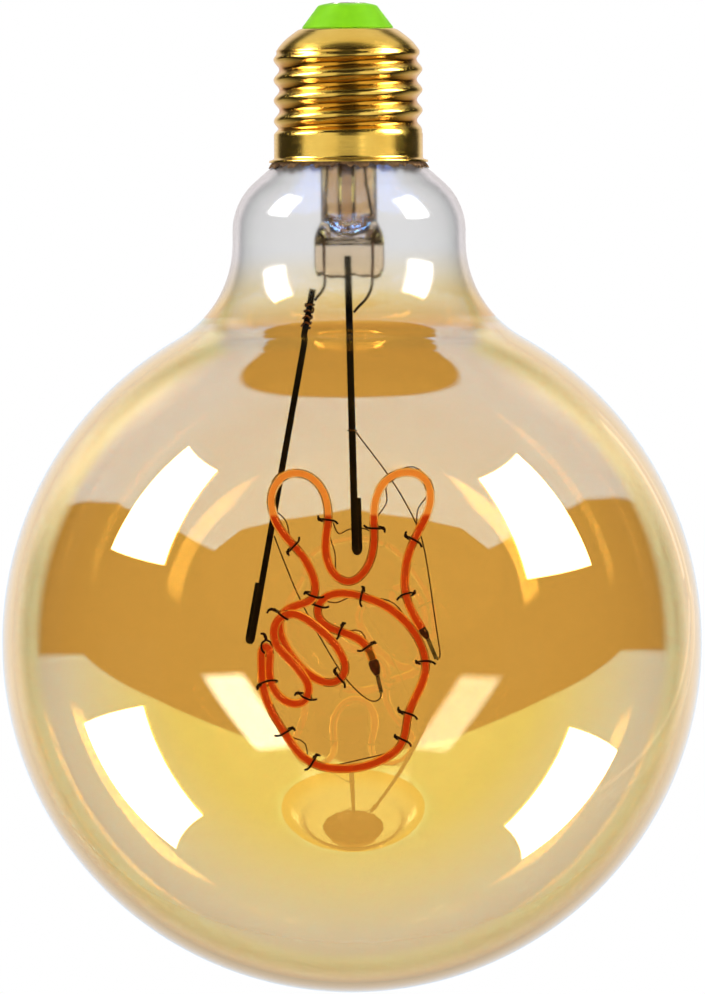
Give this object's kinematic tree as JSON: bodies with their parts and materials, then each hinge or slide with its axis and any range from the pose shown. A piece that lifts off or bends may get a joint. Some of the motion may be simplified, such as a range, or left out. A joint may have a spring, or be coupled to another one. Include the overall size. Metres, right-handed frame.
{
  "type": "globe lamp",
  "caption": "Decorative globe lamp with an amber glass bulb, a screw cap and a flexible light-emitting filament bent into an open hand on a glass stem.",
  "frame": {"origin": "centre of the centre contact's flat face, on the lamp's axis", "axes": "+Z along the lamp's axis, out of the centre contact; the globe hangs below. -Y towards the viewer who sees the palm side of the hand, +X to that viewer's right"},
  "size_m": [0.124, 0.124, 0.1754],
  "materials": {
    "amber_glass": "blown glass, thin amber metallic coating that fades to clear at the neck",
    "clear_glass": "clear flame-worked glass",
    "copper_wire": "drawn copper, slightly tarnished",
    "seal_wire": "copper-clad seal wire, pinkish through the glass",
    "nickel_wire": "drawn nickel wire, satin",
    "wrap_wire": "fine wound wire, darkened by the weld",
    "dark_rod": "blackened steel rod, semi-gloss",
    "steel_wire": "fine oxidised steel wire",
    "tie_wire": "dark twisted tie wire",
    "filament_silicone": "translucent orange-red phosphor silicone",
    "filament_strip": "red-coated diode strip",
    "dark_sleeve": "dark maroon end seal, satin",
    "tab_metal": "thin plated steel strip",
    "brass_shell": "polished rolled brass",
    "lime_plastic": "moulded translucent green plastic",
    "contact_metal": "plated steel button",
    "cement": "brown basing cement, grainy",
    "board": "solder-masked glass epoxy",
    "capacitor_can": "shrink-sleeved aluminium can",
    "inductor_core": "ferrite drum in dark sleeving",
    "red_plastic": "dipped film capacitor",
    "black_plastic": "moulded epoxy package",
    "fuse_body": "lacquered resistor body",
    "red_insulation": "PVC insulation",
    "black_insulation": "PVC insulation"
  },
  "bodies": {
    "root": {"glass_globe": "amber_glass", "stem_flare": "clear_glass", "exhaust_tube": "clear_glass", "outer_lead_left": "copper_wire", "outer_lead_right": "copper_wire", "seal_wire_left": "seal_wire", "seal_wire_right": "seal_wire", "inner_lead_left": "nickel_wire", "inner_lead_right": "nickel_wire", "weld_wrap_left": "wrap_wire", "centre_rod": "dark_rod", "left_rod": "dark_rod", "cross_wire": "steel_wire", "filament_coating": "filament_silicone", "filament_strip": "filament_strip", "right_end_sleeve": "dark_sleeve", "right_end_tab": "tab_metal", "right_feed_wire": "steel_wire", "left_end_sleeve": "dark_sleeve", "left_end_tab": "tab_metal", "left_feed_wire": "steel_wire", "finger_frame_wire": "steel_wire", "ring_frame_wire": "steel_wire", "palm_frame_wire": "steel_wire", "tie_wires": "tie_wire", "screw_shell": "brass_shell", "cap_insulator": "lime_plastic", "centre_contact": "contact_metal", "cap_cement": "cement", "driver_board": "board", "smoothing_capacitor": "capacitor_can", "inductor": "inductor_core", "film_capacitor": "red_plastic", "bridge_rectifier": "black_plastic", "driver_chip": "black_plastic", "fuse_resistor": "fuse_body", "live_wire": "red_insulation", "neutral_wire": "black_insulation"}
  },
  "joints": []
}
